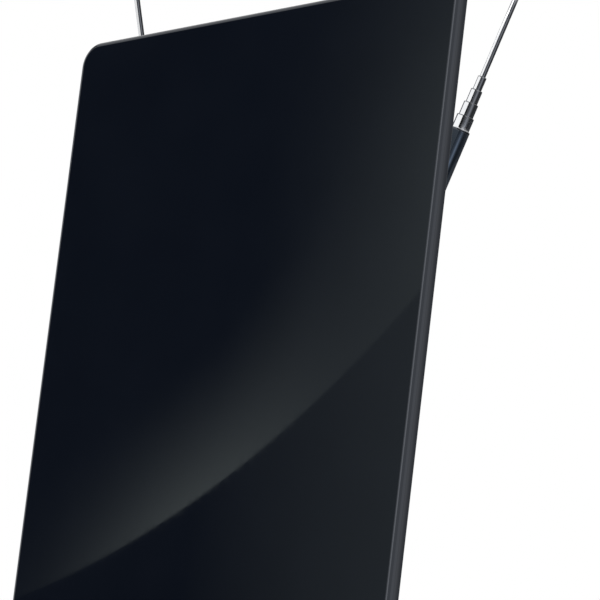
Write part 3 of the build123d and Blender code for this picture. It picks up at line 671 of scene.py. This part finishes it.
# The stretches of the rods that the flags show in, from the hinge
LEFT_TIP = (0.2, 0.275)
RIGHT_CHROME = (0.1661, 0.229)
RIGHT_TUBE = (0.1645, 0.131)

# A dim card far behind, which shows in the skirt's back edge
BACK_CARD_SIDES = (-1.2, 1.3)
BACK_CARD_DEPTH = 1.2
BACK_CARD_TOP = 0.9
BACK_CARD_LIGHT = 0.4
BACK_CARD_FADES = (0.42, 0.05)

# A dim card on the viewer's side, which keeps the panel's front dark
ROOM_CARD_SIDES = (-1.9, 1.9)
ROOM_CARD_DEPTH = -1.35
ROOM_CARD_TOP = 0.62
ROOM_CARD_LIGHT = 0.2
ROOM_CARD_FADES = (0.4, 0.3)

# Small lamps between the panel's back and a rod: depth, then each one's sides, ends along the rod and light
ROD_FILL_DEPTH = 12 * MM
CHROME_FILL = ((-60 * MM, 4 * MM), (168 * MM, 216 * MM), 1.1)
RIGHT_TUBE_FILL = ((-60 * MM, 16 * MM), (-30 * MM, 168 * MM), 0.85)
LEFT_TUBE_FILL = ((-16 * MM, 60 * MM), (-30 * MM, 168 * MM), 0.85)

# Soft boxes
KEY_AZIMUTH = -6
KEY_DISTANCE = 1.5
KEY_SIZE = (0.62, 1.05)
KEY_HEIGHT = 0.62
KEY_RADIANCE = 1.5
SIDE_AZIMUTH = 88
SIDE_DISTANCE = 1.6
SIDE_SIZE = (1.5, 1.7)
SIDE_HEIGHT = 0.2
SIDE_RADIANCE = 0.35
TOP_PLACE = (-0.3, 0.2, 1.7)
TOP_SIZE = (1.4, 1.4)
TOP_RADIANCE = 0.65


def new_emitter(name):
    """A material with an emission shader that a factor can thin to clear."""
    material = bpy.data.materials.new(name)
    material.use_nodes = True
    tree = material.node_tree
    tree.nodes.clear()
    glow = tree.nodes.new("ShaderNodeEmission")
    clear = tree.nodes.new("ShaderNodeBsdfTransparent")
    mix = tree.nodes.new("ShaderNodeMixShader")
    output = tree.nodes.new("ShaderNodeOutputMaterial")
    mix.inputs["Fac"].default_value = 0
    tree.links.new(glow.outputs[0], mix.inputs[1])
    tree.links.new(clear.outputs[0], mix.inputs[2])
    tree.links.new(mix.outputs[0], output.inputs["Surface"])
    return material, tree, glow, mix


def front_card_light():
    """Light of the front card: brighter to the right, with a band along the inside of a large circle."""
    material, tree, glow, mix = new_emitter("front_card")
    glow.inputs["Color"].default_value = (*CARD_TINT, 1)
    place = split_place(tree, object_place(tree))
    x, z = place["X"], place["Z"]

    away_x = calc(tree, "SUBTRACT", x, BAND_CENTRE[0])
    away_z = calc(tree, "SUBTRACT", z, BAND_CENTRE[1])
    squares = calc(tree, "ADD", calc(tree, "POWER", away_x, 2), calc(tree, "POWER", away_z, 2))
    inward = calc(tree, "SUBTRACT", BAND_RADIUS, calc(tree, "SQRT", squares))
    inside = calc(tree, "GREATER_THAN", inward, 0)
    widening = calc(tree, "MULTIPLY", calc(tree, "MAXIMUM", x, 0), BAND_WIDENING)
    depth = calc(tree, "ADD", BAND_DEPTH, widening)
    fading = calc(tree, "SUBTRACT", 1, calc(tree, "DIVIDE", inward, depth))
    fading = calc(tree, "POWER", calc(tree, "MAXIMUM", fading, 0), 2)
    swing = calc(tree, "DIVIDE", calc(tree, "SUBTRACT", x, BAND_PEAK), BAND_SPREAD)
    lobe = calc(tree, "EXPONENT", calc(tree, "MULTIPLY", calc(tree, "POWER", swing, 2), -1))
    band = calc(tree, "MULTIPLY", calc(tree, "MULTIPLY", lobe, fading), BAND_LIGHT)

    right = calc(tree, "MAXIMUM", calc(tree, "DIVIDE", calc(tree, "SUBTRACT", x, VEIL_START), VEIL_REACH), 0)
    veil = calc(tree, "MULTIPLY", calc(tree, "POWER", right, VEIL_POWER), VEIL_ABOVE)
    drop = calc(tree, "MULTIPLY", smooth_step(tree, z, *VEIL_TOP), VEIL_DROP)
    above = calc(tree, "ADD", band, calc(tree, "MULTIPLY", veil, calc(tree, "SUBTRACT", 1, drop)))
    below = calc(tree, "MULTIPLY", right, VEIL_BELOW)
    choice = tree.nodes.new("ShaderNodeMix")
    wire(tree, inside, choice.inputs["Factor"])
    wire(tree, below, choice.inputs["A"])
    wire(tree, above, choice.inputs["B"])
    wire(tree, choice.outputs["Result"], glow.inputs["Strength"])

    past_side = calc(tree, "SUBTRACT", calc(tree, "ABSOLUTE", x), PANEL_WIDTH / 2)
    from_middle = calc(tree, "ABSOLUTE", calc(tree, "SUBTRACT", z, PANEL_HEIGHT / 2))
    past_end = calc(tree, "SUBTRACT", from_middle, PANEL_HEIGHT / 2)
    outside = calc(tree, "MAXIMUM", past_side, past_end)
    wire(tree, smooth_step(tree, outside, CARD_FADE, CARD_MARGIN), mix.inputs["Fac"])
    return material


def flag_light(name, stops):
    """Dim light of a rod's flag, by stops round the rod, which fades out at the flag's far end."""
    material, tree, glow, mix = new_emitter(name)
    place = split_place(tree, uv_place(tree))
    brightest = max(light for turn, light in stops)
    ramp = tree.nodes.new("ShaderNodeValToRGB")
    marks = ramp.color_ramp.elements
    first, last = stops[0][0], stops[-1][0]
    for turn, light in stops:
        share = (turn - first) / (last - first)
        mark = marks[0] if share == 0 else marks[-1] if share == 1 else marks.new(share)
        mark.color = (*(tint * light / brightest for tint in FLAG_TINT), 1)
    wire(tree, place["X"], ramp.inputs["Fac"])
    wire(tree, ramp.outputs["Color"], glow.inputs["Color"])
    glow.inputs["Strength"].default_value = brightest
    wire(tree, smooth_step(tree, place["Y"], *FLAG_FADE), mix.inputs["Fac"])
    return material


def add_stage(name, points, faces, material, reflected_only):
    """A stage object from points and faces, seen by every ray or by reflections alone."""
    mesh = bpy.data.meshes.new(name)
    mesh.from_pydata(points, [], faces)
    mesh.materials.append(material)
    item = bpy.data.objects.new(name, mesh)
    bpy.context.scene.collection.objects.link(item)
    if reflected_only:
        item.visible_camera = False
        item.visible_diffuse = False
        item.visible_shadow = False
        item.visible_transmission = False
    return item


def upright(sides, ends, depth):
    """Corners of an upright rectangle at a depth, with the face that joins them."""
    (left, right), (low, high) = sides, ends
    corners = ((left, low), (right, low), (right, high), (left, high))
    return [(x, depth, z) for x, z in corners], [(0, 1, 2, 3)]


def add_front_card():
    """The card, placed so that each of its points shows at the same point of the panel's front."""
    eye = LEANING.inverted() @ EYE
    share = CARD_DISTANCE / -eye.y
    half = PANEL_WIDTH / 2 + CARD_MARGIN
    points, faces = upright((-half, half), (-CARD_MARGIN, PANEL_HEIGHT + CARD_MARGIN), 0)
    card = add_stage("front_card", points, faces, front_card_light(), reflected_only=True)
    shift = Matrix.Translation((-eye.x * share, -CARD_DISTANCE, -eye.z * share))
    card.matrix_world = LEANING @ shift @ Matrix.Scale(1 + share, 4)


def add_dim_card(name, sides, depth, top, light, fades):
    """An upright dim card across the view, which fades out over a length at its sides and at its top."""
    left, right = sides
    side_fade, top_fade = fades
    material, tree, glow, mix = new_emitter(name)
    glow.inputs["Strength"].default_value = light
    place = split_place(tree, object_place(tree))
    half = (right - left) / 2
    from_middle = calc(tree, "ABSOLUTE", calc(tree, "SUBTRACT", place["X"], (left + right) / 2))
    past_side = smooth_step(tree, from_middle, half - side_fade, half)
    past_top = smooth_step(tree, place["Z"], top - top_fade, top)
    wire(tree, calc(tree, "MAXIMUM", past_side, past_top), mix.inputs["Fac"])
    points, faces = upright(sides, (0, top), depth)
    add_stage(name, points, faces, material, reflected_only=True)


def between(value, stops):
    """The second number of (value, number) stops at a value, on straight lines between them."""
    for (low, first), (high, second) in zip(stops, stops[1:]):
        if low <= value <= high:
            return first + (second - first) * (value - low) / (high - low)


def add_rod_flag(name, side, stations, stops):
    """A curved flag that shows in one stretch of a rod, between its first and last turn round the rod."""
    place = ROD_FRAMES[side]
    along = place.col[2].xyz
    first, last = stops[0][0], stops[-1][0]
    points, marks = [], []
    for index in range(FLAG_STEPS + 1):
        for end, station in enumerate(stations):
            foot = place.translation + along * station
            back = (EYE - foot).normalized()
            facing = (back - along * back.dot(along)).normalized()
            right = facing.cross(along)
            if right.dot(CAMERA_RIGHT) < 0:
                right.negate()
            turn = first + (last - first) * index / FLAG_STEPS
            half = radians(turn / 2)
            ray = (-back).reflect(facing * cos(half) + right * sin(half))
            points.append(foot + ray * between(turn, FLAG_REACH))
            marks.append((index / FLAG_STEPS, end))
    faces = [(2 * index, 2 * index + 1, 2 * index + 3, 2 * index + 2) for index in range(FLAG_STEPS)]
    flag = add_stage(name, points, faces, flag_light(name, stops), reflected_only=True)
    layer = flag.data.uv_layers.new(name="round")
    for loop in flag.data.loops:
        layer.data[loop.index].uv = marks[loop.vertex_index]


def add_floor():
    """A pale disc that fades out and is clear from below, where the photograph's camera stands."""
    material = bpy.data.materials.new("floor")
    material.use_nodes = True
    tree = material.node_tree
    tree.nodes.clear()
    plain = tree.nodes.new("ShaderNodeBsdfDiffuse")
    plain.inputs["Color"].default_value = (*FLOOR_SHADE, 1)
    clear = tree.nodes.new("ShaderNodeBsdfTransparent")
    mix = tree.nodes.new("ShaderNodeMixShader")
    output = tree.nodes.new("ShaderNodeOutputMaterial")
    length = tree.nodes.new("ShaderNodeVectorMath")
    length.operation = "LENGTH"
    tree.links.new(object_place(tree), length.inputs[0])
    fade = smooth_step(tree, length.outputs["Value"], *FLOOR_FADE)
    under = tree.nodes.new("ShaderNodeNewGeometry").outputs["Backfacing"]
    wire(tree, calc(tree, "MAXIMUM", under, fade), mix.inputs["Fac"])
    tree.links.new(plain.outputs[0], mix.inputs[1])
    tree.links.new(clear.outputs[0], mix.inputs[2])
    tree.links.new(mix.outputs[0], output.inputs["Surface"])
    turns = [step / FLOOR_STEPS * tau for step in range(FLOOR_STEPS)]
    rim = [(FLOOR_RADIUS * cos(turn), FLOOR_RADIUS * sin(turn), 0) for turn in turns]
    add_stage("floor", rim, [tuple(range(FLOOR_STEPS))], material, reflected_only=False)


def add_world():
    """White for the camera, reflections and clear parts, and a plain level for everything else."""
    world = bpy.data.worlds.new("studio")
    bpy.context.scene.world = world
    world.use_nodes = True
    tree = world.node_tree
    tree.nodes.clear()
    plain = tree.nodes.new("ShaderNodeBackground")
    plain.inputs["Strength"].default_value = FILL
    white = tree.nodes.new("ShaderNodeBackground")
    white.inputs["Strength"].default_value = WHITE
    for sky in (plain, white):
        sky.inputs["Color"].default_value = (1, 1, 1, 1)
    path = tree.nodes.new("ShaderNodeLightPath")
    seen = calc(tree, "MAXIMUM", path.outputs["Is Camera Ray"], path.outputs["Is Glossy Ray"])
    seen = calc(tree, "MAXIMUM", seen, path.outputs["Is Transmission Ray"])
    mix = tree.nodes.new("ShaderNodeMixShader")
    output = tree.nodes.new("ShaderNodeOutputWorld")
    wire(tree, seen, mix.inputs["Fac"])
    tree.links.new(plain.outputs[0], mix.inputs[1])
    tree.links.new(white.outputs[0], mix.inputs[2])
    tree.links.new(mix.outputs[0], output.inputs["Surface"])


def add_soft_box(name, place, size, radiance):
    """A rectangular lamp that faces the antenna."""
    lamp = bpy.data.lights.new(name, "AREA")
    lamp.shape = "RECTANGLE"
    lamp.size, lamp.size_y = size
    lamp.energy = radiance * pi * lamp.size * lamp.size_y
    item = bpy.data.objects.new(name, lamp)
    bpy.context.scene.collection.objects.link(item)
    item.location = place
    item.rotation_euler = (Vector(place) - AIM).to_track_quat("Z", "Y").to_euler()
    return item


def standing_place(azimuth, distance, height):
    """A place round the antenna at a height above its floor."""
    return toward(azimuth, 0) * distance + Vector((0, 0, height))


def add_rod_fill(name, rod, sides, ends, radiance):
    """A small lamp that brightens the side of a rod towards the panel, in reflections alone."""
    place = ROD_FRAMES[rod]
    along = place.col[2].xyz
    rise = (along - BACK * along.dot(BACK)).normalized()
    side = rise.cross(-BACK)
    foot = place.translation - BACK * (place.translation.dot(BACK) - PANEL_FRONT - ROD_FILL_DEPTH)
    middle = foot + side * sum(sides) / 2 + rise * sum(ends) / 2
    item = add_soft_box(name, middle, (sides[1] - sides[0], ends[1] - ends[0]), radiance)
    item.matrix_world = axes_frame(side, rise, -BACK, middle)
    item.visible_camera = False
    item.visible_diffuse = False
    item.visible_transmission = False


def add_camera():
    """The photograph's camera, below the level of the foot."""
    data = bpy.data.cameras.new("camera")
    data.lens = FOCAL_PIXELS / IMAGE_WIDTH * data.sensor_width
    camera = bpy.data.objects.new("camera", data)
    bpy.context.scene.collection.objects.link(camera)
    camera.location = EYE
    camera.rotation_euler = (EYE - AIM).to_track_quat("Z", "Y").to_euler()
    bpy.context.scene.camera = camera


add_floor()
add_world()
add_front_card()
add_dim_card("back_card", BACK_CARD_SIDES, BACK_CARD_DEPTH, BACK_CARD_TOP, BACK_CARD_LIGHT, BACK_CARD_FADES)
add_dim_card("room_card", ROOM_CARD_SIDES, ROOM_CARD_DEPTH, ROOM_CARD_TOP, ROOM_CARD_LIGHT, ROOM_CARD_FADES)
add_rod_flag("chrome_flag_left", "left", LEFT_TIP, CHROME_STOPS)
add_rod_flag("outline_flag_left", "left", LEFT_TIP, LEFT_OUTLINE_STOPS)
add_rod_flag("chrome_flag_right", "right", RIGHT_CHROME, CHROME_STOPS)
add_rod_flag("outline_flag_right", "right", RIGHT_CHROME, RIGHT_OUTLINE_STOPS)
add_rod_flag("tube_flag_right", "right", RIGHT_TUBE, TUBE_STOPS)
add_soft_box("key", standing_place(KEY_AZIMUTH, KEY_DISTANCE, KEY_HEIGHT), KEY_SIZE, KEY_RADIANCE)
add_soft_box("side", standing_place(SIDE_AZIMUTH, SIDE_DISTANCE, SIDE_HEIGHT), SIDE_SIZE, SIDE_RADIANCE)
top_lamp = add_soft_box("top", TOP_PLACE, TOP_SIZE, TOP_RADIANCE)
top_lamp.visible_glossy = False
add_rod_fill("chrome_fill", "right", *CHROME_FILL)
add_rod_fill("tube_fill_right", "right", *RIGHT_TUBE_FILL)
add_rod_fill("tube_fill_left", "left", *LEFT_TUBE_FILL)
add_camera()
bpy.context.scene.view_settings.view_transform = "Standard"
